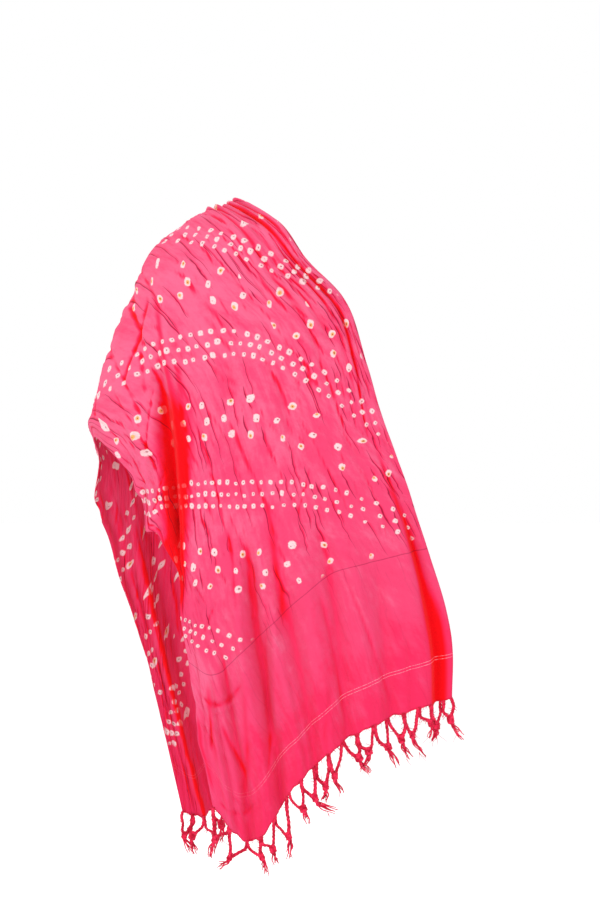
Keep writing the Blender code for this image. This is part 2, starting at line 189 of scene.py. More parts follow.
# The crinkle that tying leaves: many short creases along the cloth, in two sizes. For each: how
# many, their lean and how it varies, the ranges of half length, half width and depth, and reach
CRINKLES = (
    (170, 0.20, 0.24, (0.030, 0.085), (0.0075, 0.0150), (0.0010, 0.0030), 0.16),
    (1900, 0.24, 0.20, (0.010, 0.042), (0.0023, 0.0046), (0.0006, 0.0022), 0.08),
)
CRINKLE_SEED = 11
GROOVE_SHARE = 0.7  # of the short creases; the rest are ridges
RIDGE_HEIGHT = 0.8  # of such a ridge, against a groove's depth
RIM_HEIGHT = 0.42  # of the low ridges beside a groove
RIM_WIDTH = 2.1
# The plain front end is smoother: its share of the crinkle's depth, and where it ends
QUIET = 0.30
QUIET_TO = 0.19
QUIET_FADE = 0.09

# The mesh: even steps across, and along it closer steps on the front
ACROSS_STEPS = 152
ALONG_STEPS = 318
BACK_FROM = 0.93  # beyond this fall the steps are longer, by the next figure
BACK_COARSENESS = 2.1

# ---- the fringe

TASSELS = 17
FRONT_SEED = 7
BACK_SEED = 19
TASSEL_CROWDING = 1.25  # they stand closer at the neck side
LEG_DROP = 0.034
LEG_POINTS = 17
LEG_HAIRS = 7
TAIL_LENGTH = 0.032
TAIL_STRANDS = 7
TAIL_POINTS = 9
FRINGE_SWING = 0.6
PLY_RADIUS = 0.00158
PLIES = 3
KNOT_TURNS = 3
KNOT_POINTS = 15
HEM_POINTS = 300
HEM_TURNS = 60
LOOSE_THREADS = 70

# ---- the dots' layout

ROW_GAP = 0.0185  # between a band's three rows
DOT_PITCH = 0.0185
BAND_GAP = 0.22  # between bands, in the pattern's own measure
BAND_HOLD = 0.035  # each side of a band, lengths are the cloth's own
DOT_RADIUS = 0.0041
DOT_PUCKER = (0.0012, 0.0042)  # a dot's small peak: its height and half width
RING_DOT_RADIUS = 0.0054
RING_DOT_PUCKER = (0.0019, 0.0056)
RING_CELL = 0.1  # what a ring's cell is worth along the rows
# A ring's six dots: two in the middle row, and two above and below
RING_MIDDLE = (0.031, 0.0)
RING_CORNER = (0.019, 0.0255)
PANEL_END = 0.236  # the plain end's depth
BACK_PANEL = (0.235, 0.085)  # the same at the back end, at the neck side and at the arm side

# Where each band's middle row lies: falls in millimetres, at six places across
BAND_STATIONS = (0.0, 0.2, 0.4, 0.6, 0.8, 1.0)
BANDS = (
    (-205, -130, -60, -20, 30, 70), (15, 90, 160, 205, 278, 310),
    (254, 314, 383, 455, 530, 620), (410, 500, 613, 690, 800, 970),
    (640, 712, 800, 930, 1050, 1180), (870, 930, 1005, 1110, 1225, 1350),
    (1090, 1150, 1220, 1305, 1400, 1510), (1310, 1365, 1430, 1500, 1580, 1680),
    (1530, 1580, 1640, 1705, 1780, 1870), (1750, 1800, 1860, 1920, 1995, 2080),
)
# How wide the cloth lies between the neck side and each tenth of the way across, on the front
WIDTH_SO_FAR = (0.0, 0.037, 0.073, 0.123, 0.176, 0.226, 0.280, 0.326, 0.368, 0.410, 0.450)
# How much the cloth is gathered, along the fall
GATHER_AT = (0.30, 0.62, 1.00, 1.35)
GATHER = (1.0, 0.74, 0.78, 0.95)
# The rings between two bands: how far apart they are, and where the first one is
RING_PITCHES = (0.100, 0.100, 0.107, 0.088, 0.100, 0.100, 0.100, 0.100, 0.100)
RING_FIRSTS = (0.02, 0.075, 0.055, 0.033, 0.06, 0.02, 0.07, 0.04, 0.02)


# ---- the cloth's surface


def tangents(knots, values):
    """The curve's slope at each knot, from the steps on both sides of it."""
    weights = np.diff(knots)[:, None, None]
    slopes = np.diff(values, axis=0) / weights
    inner = (slopes[:-1] * weights[1:] + slopes[1:] * weights[:-1]) / (weights[:-1] + weights[1:])
    return np.concatenate([slopes[:1], inner, slopes[-1:]])


def smooth(knots, values, places):
    """The smooth curve through values (knots, columns, parts) at each column's own place."""
    knots = np.asarray(knots, float)
    span = np.clip(np.searchsorted(knots, places) - 1, 0, len(knots) - 2)
    width = knots[span + 1] - knots[span]
    t = ((places - knots[span]) / width)[:, None]
    column = np.arange(values.shape[1]) if values.shape[1] == len(places) else 0
    slopes = tangents(knots, values)
    low, high = values[span, column], values[span + 1, column]
    out, back = (slopes[span + k, column] * width[:, None] for k in (0, 1))
    start = low * (1 + 2 * t) * (1 - t) ** 2 + out * t * (1 - t) ** 2
    return start + high * t**2 * (3 - 2 * t) - back * t**2 * (1 - t)


def depth(x, z, ridge_x, ridge_z, across, side):
    """How far the cloth hangs before the figure's middle (side -1) or behind it (side 1)."""
    oval = math.sqrt(max(0.0, 1 - ((x - FIGURE_CENTRE_X) / FIGURE_HALF_WIDTH) ** 2))
    rounding = np.interp(across, ROUNDING_AT, ROUNDING)
    below = min(1.0, math.hypot(x - ridge_x, z - ridge_z) / rounding)
    return side * (CHEST_DEPTH if side < 0 else BACK_DEPTH) * oval * math.sqrt(1 - (1 - below) ** 2)


def control_net():
    """The surface's knots: for each section and station, a point in metres."""
    flat = np.array(list(SECTIONS.values())).reshape(len(SECTIONS), len(STATIONS), 2) / 1000
    ridge = flat[list(SECTIONS).index(RIDGE)]
    net = np.zeros((len(SECTIONS), len(STATIONS), 3))
    for i, fall in enumerate(SECTIONS):
        side = -1 if fall < RIDGE else 1
        for k, across in enumerate(STATIONS):
            x, z = flat[i, k]
            net[i, k] = x, depth(x, z, *ridge[k], across, side), z
    return net


NET = control_net()
FALLS = np.array(list(SECTIONS))

# Where the arm side's edge is let out, as a share of the width, or drawn in: at each fall, how far
# along it reaches either way, and how far out
EDGE_LIPS = (
    (0.575, 0.018, 0.04), (0.622, 0.016, -0.014), (0.53, 0.016, -0.01), (0.665, 0.016, 0.014),
    (0.15, 0.02, -0.014), (0.08, 0.018, 0.012), (1.01, 0.03, -0.014), (1.18, 0.04, 0.014),
    (1.35, 0.035, -0.012),
)
LIP_FROM = 0.86  # only the cloth beyond this place across is moved


def sheet(across, fall):
    """The surface without its folds."""
    lines = smooth(FALLS, NET.reshape(len(FALLS), -1)[:, None, :], fall).reshape(-1, len(STATIONS), 3)
    return smooth(STATIONS, lines.transpose(1, 0, 2), across)


def hung(across, fall):
    """The same, with the arm side's edge let out and drawn in a little."""
    out = np.zeros(len(across))
    for at, half_width, reach in EDGE_LIPS:
        out += reach * bump(fall - at, half_width)
    return sheet(across + out * ramp((across - LIP_FROM) / (1 - LIP_FROM)), fall)


def bump(distance, half_width):
    return np.exp(-((distance / half_width) ** 2))


def ramp(t):
    """A smooth step from 0 to 1."""
    t = np.clip(t, 0, 1)
    return t * t * (3 - 2 * t)


def folds_of(table, across, fall, unit=TENTHS_OF_MM):
    """What the folds in a table add up to: a height, or how much painted shade they add."""
    total = np.zeros(len(across))
    for *places, half_width, height in table:
        start, end, across_at_start, across_at_end = (place / 1000 for place in places)
        share = (fall - start) / (end - start)
        centre = across_at_start + (across_at_end - across_at_start) * np.clip(share, 0, 1)
        fade = ramp(share * 3.5) * ramp((1 - share) * 3.5)
        total += height / unit * fade * bump((across - centre) * CUT[0], half_width / TENTHS_OF_MM)
    return total


def slants_of(table, across, fall, unit=TENTHS_OF_MM):
    """The same for slants."""
    total = np.zeros(len(across))
    for *ends, half_width, height in table:
        start, end = np.array(ends).reshape(2, 2) / 1000 * (CUT[0], 1)
        reach = np.linalg.norm(end - start)
        way = (end - start) / reach
        du = across * CUT[0] - start[0]
        df = fall - start[1]
        along = (du * way[0] + df * way[1]) / reach
        aside = du * way[1] - df * way[0]
        fade = ramp(along * 4) * ramp((1 - along) * 4)
        total += height / unit * fade * bump(aside, half_width / TENTHS_OF_MM)
    return total


def large_folds(across, fall):
    """The solids' own folds and pleats."""
    height = folds_of(FRONT_FOLDS + BACK_FOLDS, across, fall)
    for i in range(PLEATS):
        centre = PLEAT_FIRST + i * PLEAT_PITCH + 0.006 * math.sin(2.3 * i)
        reach = PLEAT_REACH_VARIES * math.sin(1.7 * i + 0.6)
        down = np.where(
            fall < RIDGE,
            (RIDGE - fall) / (PLEAT_FRONT_REACH + reach),
            (fall - RIDGE) / (PLEAT_BACK_REACH + reach / 2),
        )
        distance = (across - centre) * CUT[0]
        height += PLEAT_HEIGHT * ramp((1 - down) * 1.6) * bump(distance, PLEAT_HALF_WIDTH)
    return height


def units(vectors):
    return vectors / np.linalg.norm(vectors, axis=-1, keepdims=True)


def outward_from(across, fall, step=0.004):
    """The way in which the folds stand up from the surface."""
    over = sheet(across + step, fall) - sheet(across - step, fall)
    along = sheet(across, fall + step) - sheet(across, fall - step)
    return units(np.cross(along, over))


# ---- the pattern's coordinates


def wobble(a, b, size):
    """A smooth unevenness, the same in every run."""
    waves = np.sin(151 * a + 83 * b + 1.3) + 0.8 * np.sin(97 * a - 139 * b + 4.1)
    return size * (waves + 0.6 * np.sin(211 * a + 173 * b)) / 2.4


def pattern(across, fall):
    """The pattern's coordinates: along the rows, and up through the bands, in metres."""
    lines = smooth(BAND_STATIONS, (np.array(BANDS) / 1000).T[:, None, :], across).T
    up = np.zeros(len(across))
    for k in range(len(BANDS) - 1):
        low, high = lines[k], lines[k + 1]
        past = fall - low
        left = high - fall
        # near a band lengths are the cloth's own, and between two bands they are stretched to fit
        middle = (past - BAND_HOLD) * (BAND_GAP - 2 * BAND_HOLD) / (high - low - 2 * BAND_HOLD)
        here = np.where(left < BAND_HOLD, BAND_GAP - left, BAND_HOLD + middle)
        here = np.where(past < BAND_HOLD, past, here)
        up = np.where((fall >= low) & (fall < high), k * BAND_GAP + here, up)
    up = np.where(fall < lines[0], fall - lines[0], up)
    tenths = np.linspace(0, 1, len(WIDTH_SO_FAR))
    width = smooth(tenths, np.array(WIDTH_SO_FAR)[:, None, None], across)[:, 0]
    over = width / np.interp(fall, GATHER_AT, GATHER)
    return over + wobble(over, up, 0.0018), up + wobble(up, over, 0.0016)


def ring_cells(over, up):
    """Each ring of dots has a cell, one unit each way."""
    row = np.clip(np.floor(up / BAND_GAP).astype(int), 0, len(RING_PITCHES) - 1)
    return (over - np.array(RING_FIRSTS)[row]) / np.array(RING_PITCHES)[row], up / BAND_GAP


def dotted(across, fall):
    """1 where the cloth has dots, 0 on its plain ends."""
    back = BACK_END - np.interp(across, (0, 1), BACK_PANEL)
    front = ramp((fall - PANEL_END) / 0.004)
    return front * ramp((back - fall) / 0.004) * ramp((across - 0.012) / 0.01)


def puckers(over, up, worth):
    """Each dot stands up in a small peak, where a thread was tied round it."""
    wide, slant, tall = worth
    from_band = up - BAND_GAP * np.round(up / BAND_GAP)
    aside = over - DOT_PITCH * np.round(over / DOT_PITCH)
    above = from_band - np.clip(np.round(from_band / ROW_GAP), -1, 1) * ROW_GAP
    height = DOT_PUCKER[0] * bump(np.hypot(aside, above), DOT_PUCKER[1])
    cell, level = ring_cells(over, up)
    above = (level - np.floor(level) - 0.5) * BAND_GAP
    aside = np.abs((cell - np.round(cell)) * RING_CELL + above * slant / wide)
    above = np.abs(above * tall)
    for x, y in (RING_MIDDLE, RING_CORNER):
        height += RING_DOT_PUCKER[0] * bump(np.hypot(aside - x, above - y), RING_DOT_PUCKER[1])
    return height


def crinkles(across, fall):
    """Short creases, each a groove between two low ridges, uneven in place, size and direction."""
    rng = np.random.default_rng(CRINKLE_SEED)
    width = across * CUT[0]
    height = np.zeros(len(across))
    for count, mean_lean, lean_varies, half_lengths, half_widths, depths, reach in CRINKLES:
        for _ in range(count):
            centre_over = rng.uniform(-0.01, CUT[0] + 0.01)
            centre_fall = rng.uniform(-0.02, BACK_END + 0.02)
            lean = rng.normal(mean_lean, lean_varies)
            half_length = rng.uniform(*half_lengths)
            half_width = rng.uniform(*half_widths)
            deep = rng.uniform(*depths) * (1 if rng.random() < GROOVE_SHARE else -RIDGE_HEIGHT)
            bend = rng.normal(0, 2.0)
            quiet = QUIET + (1 - QUIET) * ramp((centre_fall - QUIET_TO) / QUIET_FADE)
            beside = np.abs(width - centre_over) < reach * 0.6
            near = np.flatnonzero(beside & (np.abs(fall - centre_fall) < reach))
            du = width[near] - centre_over
            df = fall[near] - centre_fall
            along = du * math.sin(lean) + df * math.cos(lean)
            aside = du * math.cos(lean) - df * math.sin(lean) + bend * along**2
            shape = bump(aside, half_width) - RIM_HEIGHT * bump(aside, RIM_WIDTH * half_width)
            height[near] -= quiet * deep * shape * np.exp(-((along / half_length) ** 4))
    return height


def blurred(grid, steps):
    """The grid with each value spread over its neighbours."""
    reach = int(3 * steps)
    share = np.exp(-((np.arange(-reach, reach + 1) / steps) ** 2))
    share /= share.sum()
    for axis in (0, 1):
        edges = [(reach, reach) if k == axis else (0, 0) for k in range(2)]
        grid = np.apply_along_axis(np.convolve, axis, np.pad(grid, edges, mode="edge"), share, mode="valid")
    return grid


def hollows(heights):
    """How far each place lies below the cloth around it: 0 on open cloth, 1 in a deep fold."""
    near = blurred(heights, 2.2) - heights
    wide = blurred(heights, 7.0) - heights
    return np.clip(0.75 * ramp(near / 0.0024) + 0.52 * ramp(wide / 0.0110), 0, 1)


def measure(points, across_line, fall_line, over, up, blur):
    """What the pattern's coordinates are worth on the cloth: along the rows, their slant, and up."""
    along_fall, along_across = np.gradient(points, fall_line, across_line, axis=(0, 1))
    slopes = [np.gradient(blurred(part, 1.5), fall_line, across_line) for part in (over, up)]
    (over_fall, over_across), (up_fall, up_across) = (
        [slope[..., None] for slope in pair] for pair in slopes
    )
    cross = over_across * up_fall - over_fall * up_across
    cross = np.where(np.abs(cross) < 0.15, 0.15 * np.sign(cross + 1e-9), cross)
    step_over = (along_across * up_fall - along_fall * up_across) / cross
    step_up = (along_fall * over_across - along_across * over_fall) / cross
    wide = np.clip(np.linalg.norm(step_over, axis=2), 0.4, 2.0)
    slant = (step_over * step_up).sum(axis=2) / wide
    tall = np.sqrt(np.clip((step_up**2).sum(axis=2) - slant**2, 0.16, 4.0))
    parts = (wide, np.clip(slant, -1.5, 1.5), tall)
    return np.stack([blurred(part, blur).ravel() for part in parts])


# ---- node helpers


def math_node(operation, swapped=False):
    """A method that adds one Math node."""

    def made(self, other=0.0):
        pair = (other, self) if swapped else (self, other)
        return self.tree.math(operation, *pair)

    return made


class Value:
    """A number, vector or colour inside a material; arithmetic with it adds Math nodes."""

    def __init__(self, tree, socket):
        self.tree = tree
        self.socket = socket

    __add__ = math_node("ADD")
    __radd__ = math_node("ADD", swapped=True)
    __sub__ = math_node("SUBTRACT")
    __rsub__ = math_node("SUBTRACT", swapped=True)
    __mul__ = math_node("MULTIPLY")
    __truediv__ = math_node("DIVIDE")
    __pow__ = math_node("POWER")
    __gt__ = math_node("GREATER_THAN")
    __lt__ = math_node("LESS_THAN")
    __abs__ = math_node("ABSOLUTE")
    __round__ = math_node("ROUND")
    floor = math_node("FLOOR")
    ceil = math_node("CEIL")
    fract = math_node("FRACT")
    sign = math_node("SIGN")
    sine = math_node("SINE")
    root = math_node("SQRT")


class Tree:
    """A material's nodes, built from short calls."""

    def __init__(self, name):
        self.material = bpy.data.materials.new(name)
        self.material.use_nodes = True
        self.nodes = self.material.node_tree.nodes
        self.links = self.material.node_tree.links
        self.shader = self.nodes["Principled BSDF"]

    def put(self, socket, value):
        if isinstance(value, Value):
            self.links.new(value.socket, socket)
        else:
            socket.default_value = value

    def add(self, kind, inputs=(), output=0, **settings):
        """A new node's output; the inputs are in order, or by name or place."""
        node = self.nodes.new("ShaderNode" + kind)
        for name, value in settings.items():
            setattr(node, name, value)
        for key, value in inputs.items() if isinstance(inputs, dict) else enumerate(inputs):
            self.put(node.inputs[key], value)
        return Value(self, node.outputs[output])

    def math(self, operation, a, b):
        return self.add("Math", (a, b), operation=operation)

    def larger(self, a, b):
        return self.math("MAXIMUM", a, b)

    def smaller(self, a, b):
        return self.math("MINIMUM", a, b)

    def split(self, vector):
        node = self.nodes.new("ShaderNodeSeparateXYZ")
        self.put(node.inputs[0], vector)
        return [Value(self, socket) for socket in node.outputs]

    def join(self, x, y, z=0.0):
        return self.add("CombineXYZ", (x, y, z))

    def place_in(self, uv_map):
        """A map's two coordinates."""
        return self.split(self.add("UVMap", uv_map=uv_map))[:2]

    def on_object(self):
        return self.add("TexCoord", output="Object")

    def attribute(self, name):
        return self.add("Attribute", output="Fac", attribute_name=name)

    def three(self, name):
        """A vector attribute's three parts."""
        return self.split(self.add("Attribute", output="Vector", attribute_name=name))

    def noise(self, vector, scale, detail=2.0, rough=0.5):
        inputs = {"Vector": vector, "Scale": scale, "Detail": detail, "Roughness": rough}
        return self.add("TexNoise", inputs, "Fac")

    def chance(self, x, y, z):
        """A number from 0 to 1 for each cell."""
        cell = {"Vector": self.join(x, y, z)}
        return self.add("TexWhiteNoise", cell, "Value", noise_dimensions="3D")

    def chances(self, x, y, z):
        """Three numbers from 0 to 1 for each cell."""
        cell = {"Vector": self.join(x, y, z)}
        return self.split(self.add("TexWhiteNoise", cell, "Color", noise_dimensions="3D"))

    def between(self, value, low, high, to_low=0.0, to_high=1.0):
        """A smooth step that goes from to_low to to_high as the value goes from low to high."""
        return self.add("MapRange", (value, low, high, to_low, to_high), interpolation_type="SMOOTHSTEP")

    def falling(self, value, low, high):
        """A smooth step from 1 down to 0."""
        return self.between(value, low, high, 1.0, 0.0)

    def pick(self, chance, low, high):
        """A value from low to high, by a chance from 0 to 1."""
        return self.between(chance, 0.0, 1.0, low, high)

    def mix(self, share, a, b):
        return self.add("Mix", {"Factor": share, 6: a, 7: b}, 2, data_type="RGBA")

    def bumped(self, height, strength, distance, before=None):
        inputs = {"Strength": strength, "Distance": distance, "Height": height}
        if before is not None:
            inputs["Normal"] = before
        return self.add("Bump", inputs)

    def surface(self, inputs):
        """Sets the shader's own sockets and gives the finished material."""
        for name, value in inputs.items():
            self.put(self.shader.inputs[name], value)
        return self.material


# ---- the cloth's look

CORAL = (0.712, 0.047, 0.138, 1)
CORAL_PALE = (0.718, 0.108, 0.216, 1)
CORAL_RICH_AND_SHADED = (0.735, 0.020, 0.091, 1)
CORAL_DEEP_SHADE = (0.780, 0.0004, 0.005, 1)
CREASE_SHADE_AND_LINE_RED = (0.20, 0.001, 0.022, 1)
UNDYED = (0.78, 0.56, 0.57, 1)
UNDYED_PINK = (0.79, 0.41, 0.46, 1)
ORANGE = (0.78, 0.34, 0.085, 1)
PIN = (0.26, 0.02, 0.03, 1)
WOVEN_LINE = (0.95, 0.42, 0.52, 1)
YARN_DEEP = (0.46, 0.004, 0.026, 1)
YARN = (0.78, 0.021, 0.080, 1)
YARN_HIGHLIGHT = (0.82, 0.10, 0.20, 1)

# How strongly each of these covers what lies under it
CREASE_SHADE_COVER = 0.76
PANEL_LINE_COVER = 0.42
PIN_COVER = 0.78
RING_PIN_COVER = 0.84
ORANGE_COVER = 0.92

LEAN = 0.25  # of the fine creases, from the warp
DOT_CREASE_SHARE = 0.36  # of the lowest row's dots with a crease below them
WAVER = 0.012  # how far the creases stray sideways
THREAD_PITCH = 0.0011
SQUARENESS = 2.7  # of the dots: 2 is a circle, and more is squarer
DOT_STRAY = (0.0026, 0.0024)
RING_DOT_STRAY = 0.006
PIN_STRAY = 0.0044
RAGGED = 0.0022  # unevenness of a dot's outline
RING_RAGGED = 0.0026
WARM_SHARE = 0.56  # of a ring dot's radius that is orange, on those that have it
PANEL_LINE = PANEL_END - 0.004
WOVEN_LINES = (0.0555, 0.0600, BACK_END - 0.0555, BACK_END - 0.0600)


def spread(chance, size):
    """A chance from 0 to 1 as a distance either way, `size` from end to end."""
    return (chance - 0.5) * size


def length(x, y):
    return (x * x + y * y).root()


def round_square(x, y):
    """Distance from a dot's middle, for a dot between a circle and a square."""
    return (abs(x) ** SQUARENESS + abs(y) ** SQUARENESS) ** (1 / SQUARENESS)


def stroke_mark(t, aside, share, half_width):
    """A painted crease, a dark line with soft painted shade beside it, thinner to the ends; share runs from
    -1 to 1.
    """
    taper = t.larger(1.0 - share * share, 0.0)
    line = t.falling(abs(aside) - taper * half_width, -0.0002, 0.0005)
    shade = t.falling(abs(aside + 0.0012), 0.0, 0.0046)
    return line * (taper > 0.0), shade * taper


def thinned(marks, luck, presence):
    """Keeps the given share of the marks, by luck."""
    present = (luck * 37.0).fract() < presence
    return [mark * present for mark in marks]


def strokes(t, over, up, waver, pitch, reach, lean, presence, key):
    """Painted fine creases in lanes along the cloth, each lane cut into lengths of its own."""
    lane_at = (over - up * lean + waver) / pitch
    lane = lane_at.floor()
    length_at = up / reach + t.chance(lane, key, 0.5) * 7.0
    number = length_at.floor()
    x = (lane_at - lane - 0.5) * pitch
    y = length_at - number - 0.5
    luck = t.chances(lane, number, key)
    tilt = (luck[1] - 0.5) * y * (pitch * 0.7)
    aside = x - spread(luck[0], pitch * 0.36) - tilt
    share = y / t.pick(luck[2], 0.14, 0.50)
    marks = stroke_mark(t, aside, share, t.pick(luck[1], 0.0004, 0.0011))
    return thinned(marks, luck[0], presence)


def strokes_from_dots(t, over, up, waver):
    """The painted fine creases that run down from the lowest row of each band."""
    past = (up + ROW_GAP) / BAND_GAP
    band = past.ceil()
    below = (band - past) * BAND_GAP
    slid = over + below * (LEAN + 0.06) + waver
    number = round(slid / DOT_PITCH)
    luck = t.chances(number, band, 41.0)
    aside = slid - number * DOT_PITCH - (luck[0] - 0.5) * (below * 0.16)
    share = below / t.pick(luck[1], 0.018, 0.075)
    marks = stroke_mark(t, aside, share, t.pick(luck[2], 0.0004, 0.0009))
    return thinned(marks, luck[0], DOT_CREASE_SHARE)


def painted_fine_creases(t, fine, over, up, across, shown):
    """All the painted fine creases: their dark lines, and the painted shades beside them."""
    waver = spread(t.noise(fine, 34, 2), WAVER)
    lines, shades = (mark * shown for mark in strokes_from_dots(t, over, up, waver * 0.5))
    by_the_neck = t.between(across, 0.11, 0.22, 0.85, 0.15)
    # pitch, reach, lean, share shown, key
    kinds = (
        (0.0185, 0.125, LEAN + 0.04, 0.25, 60.0),
        (0.0110, 0.080, LEAN - 0.08, by_the_neck, 80.0),
    )
    for kind in kinds:
        more, beside = strokes(t, over, up, waver, *kind)
        lines, shades = t.larger(lines, more), t.larger(shades, beside)
    return lines, shades


def lay(t, attribute, share, least):
    """How the pattern lies on the cloth: its slant, and its worth along the rows and up."""
    wide, slant, tall = t.three(attribute)
    broad = t.larger(wide * share + least, wide)  # a dot on gathered cloth is narrower
    return slant / wide, broad, tall


def small_dots(t, over, up, rough_edge, swell):
    """The dots in rows of three: undyed cloth, and the dark pins in their middles."""
    shear, broad, tall = lay(t, "measure", 0.55, 0.48)
    band = round(up / BAND_GAP)
    from_band = up - band * BAND_GAP
    row = t.smaller(t.larger(round(from_band / ROW_GAP), -1.0), 1.0)
    number = round(over / DOT_PITCH)
    luck = t.chances(number, band * 3.0 + row, 1.0)
    x = over - number * DOT_PITCH + spread(luck[0], DOT_STRAY[0])
    y = from_band - row * ROW_GAP + spread(luck[1], DOT_STRAY[1])
    x = (x + y * shear) * broad
    y = y * tall * t.pick(luck[1], 0.92, 1.15)
    ragged = spread(rough_edge, RAGGED)
    size = t.pick(luck[2], DOT_RADIUS * 0.76, DOT_RADIUS * 1.08) * swell
    white = t.falling(round_square(x, y) + ragged - size, -0.0014, 0.0008)
    pin_size = t.between(luck[0], 0.15, 0.9, 0.0009, 0.0020)
    return white, t.falling(length(x + 0.0005, y - 0.0004) + ragged, 0.0003, pin_size)


def ring_dots(t, cell, level, rough_edge, swell):
    """The larger dots, six in a ring: undyed cloth, dark pins, and some orange middles.

    A ring keeps to the cloth's slant over a wider stretch than a small dot does.
    """
    shear, broad, tall = lay(t, "wide_measure", 0.65, 0.38)
    column, tier = round(cell), level.floor()
    y = (level - tier - 0.5) * BAND_GAP
    x = (cell - column) * RING_CELL + y * shear
    y = y * tall
    side_x, side_y = x.sign(), y.sign()
    ring_key = column * 7.0 + tier * 31.0
    ragged = spread(rough_edge, RING_RAGGED)

    def dot(at, key):
        chance = t.chances(ring_key, key, 1.0)
        dx = ((abs(x) - at[0]) * side_x + spread(chance[0], RING_DOT_STRAY)) * broad
        dy = (abs(y) - at[1]) * side_y if at[1] else y
        dy = dy + spread(chance[1], RING_DOT_STRAY)
        radius = t.pick(chance[2], RING_DOT_RADIUS * 0.84, RING_DOT_RADIUS * 1.06) * swell
        disc = t.falling(round_square(dx, dy * 0.92) + ragged - radius, -0.0010, 0.0008)
        inner = length(dx + spread(chance[1], PIN_STRAY), dy + spread(chance[2], PIN_STRAY)) + ragged
        dark = t.falling(inner, 0.0003, t.between(chance[1], 0.1, 0.9, 0.0010, 0.0022))
        warm = t.falling(inner - radius * WARM_SHARE, -0.0012, 0.0010)
        return disc, dark, warm * (chance[0] > 0.36)

    middle = dot(RING_MIDDLE, side_x * 9.0)
    corner = dot(RING_CORNER, side_x * 2.0 + side_y)
    return [t.larger(a, b) for a, b in zip(middle, corner)]


def colour_with_painted_shade(t, fine, streaks, marks, crinkled):
    """The cloth's colour, paler at the chest and richer to the hem, with painted shade in the folds."""
    lines, shades = marks
    tone = t.attribute("tone") + spread(t.noise(fine, 14, 6, 0.7), 1.7) + spread(streaks, 0.7)
    colour = t.mix(t.between(tone, 0.42, 1.0), CORAL, CORAL_PALE)
    colour = t.mix(t.between(tone, 0.42, -0.15), colour, CORAL_RICH_AND_SHADED)
    # painted shade: the folds' hollows, the shade tables, the inner face and the shade beside the painted
    # creases turn the colour richer, then deep red
    deep = t.attribute("painted_fold_shade") + shades * 0.36 + spread(streaks, 0.6) * crinkled
    colour = t.mix(t.between(deep, 0.02, 0.50), colour, CORAL_RICH_AND_SHADED)
    colour = t.mix(t.between(deep, 0.32, 1.02), colour, CORAL_DEEP_SHADE)
    # the painted creases' dark lines go over the colour
    return t.mix(lines * CREASE_SHADE_COVER, colour, CREASE_SHADE_AND_LINE_RED)


def woven_lines(t, across, fall):
    """The pale lines woven across both ends, broken and faint towards the arm side."""
    each = [t.falling(abs(fall - at), 0.0002, 0.0007) for at in WOVEN_LINES]
    broken = t.between(t.noise(t.join(across * 60.0, fall), 7.0, 3), 0.36, 0.60, 0.15, 0.9)
    return functools.reduce(t.larger, each) * (broken * t.between(across, 0.62, 0.82, 0.62, 0.15))


def cloth_material():
    t = Tree("tie_dyed_cotton")
    over, up = t.place_in("rows")
    across, fall = t.place_in("UVMap")
    cell, level = t.place_in("rings")
    fine = t.join(over, up)

    rough_edge = t.noise(fine, 330, 2)
    swell = t.between(fall, 0.30, 0.75, 0.86, 1.12)  # the dots are smaller towards the front end
    white, pin = small_dots(t, over, up, rough_edge, swell)
    disc, dark, warm = ring_dots(t, cell, level, rough_edge, swell)
    # the dots fade out where the painted shade in a fold is deepest
    hidden = t.between(t.attribute("painted_fold_shade"), 0.62, 0.95, 0.0, 0.90)
    shown = t.attribute("dotted") * (1.0 - hidden)
    white, disc = white * shown, disc * shown

    crinkled = t.attribute("crinkled")
    # painted creases: dark lines and the shade beside them, fainter on the plain front end
    marks = [mark * crinkled for mark in painted_fine_creases(t, fine, over, up, across, shown)]
    streaks = t.noise(t.join((over - up * LEAN) * 90.0, up * 12.0), 1.0, 3.0)
    colour = colour_with_painted_shade(t, fine, streaks, marks, crinkled)
    panel_line = abs(fall - (PANEL_LINE + spread(t.noise(fine, 14, 2), 0.008)))
    colour = t.mix(t.falling(panel_line, 0.0003, 0.0012) * PANEL_LINE_COVER, colour, CREASE_SHADE_AND_LINE_RED)
    colour = t.mix(woven_lines(t, across, fall), colour, WOVEN_LINE)
    undyed = t.mix(t.between(t.noise(fine, 520, 2), 0.50, 0.66), UNDYED, UNDYED_PINK)
    colour = t.mix(white, colour, undyed)
    colour = t.mix(pin * white * PIN_COVER, colour, PIN)
    colour = t.mix(disc, colour, undyed)
    colour = t.mix(warm * disc * ORANGE_COVER, colour, ORANGE)
    colour = t.mix(dark * disc * RING_PIN_COVER, colour, PIN)

    # the weave and the fine crinkle, in relief
    thread_x = (across * (2 * math.pi * CUT[0] / THREAD_PITCH)).sine()
    thread_y = (fall * (2 * math.pi / THREAD_PITCH)).sine()
    weave = t.bumped(thread_x * thread_y, 0.25, 0.00012)
    relief = t.bumped(streaks * 0.55 + t.noise(fine, 80, 4) * 0.55, 0.75, 0.0040, weave)
    return t.surface({
        "Base Color": colour, "Normal": relief, "Roughness": 0.86,
        "Sheen Weight": 0.04, "Sheen Roughness": 0.6, "Specular IOR Level": 0.08,
    })


def yarn_material():
    t = Tree("twisted_cotton_yarn")
    spot = t.on_object()
    colour = t.mix(t.between(t.noise(spot, 160, 3), 0.35, 0.65), YARN_DEEP, YARN)
    # painted highlight: pale flecks scattered by noise over the yarn
    colour = t.mix(t.between(t.noise(spot, 620, 2), 0.56, 0.72) * 0.45, colour, YARN_HIGHLIGHT)
    return t.surface({
        "Base Color": colour, "Normal": t.bumped(t.noise(spot, 1500, 3), 0.5, 0.0004),
        "Roughness": 0.88, "Sheen Weight": 0.06, "Specular IOR Level": 0.10,
    })


# ---- building the cloth


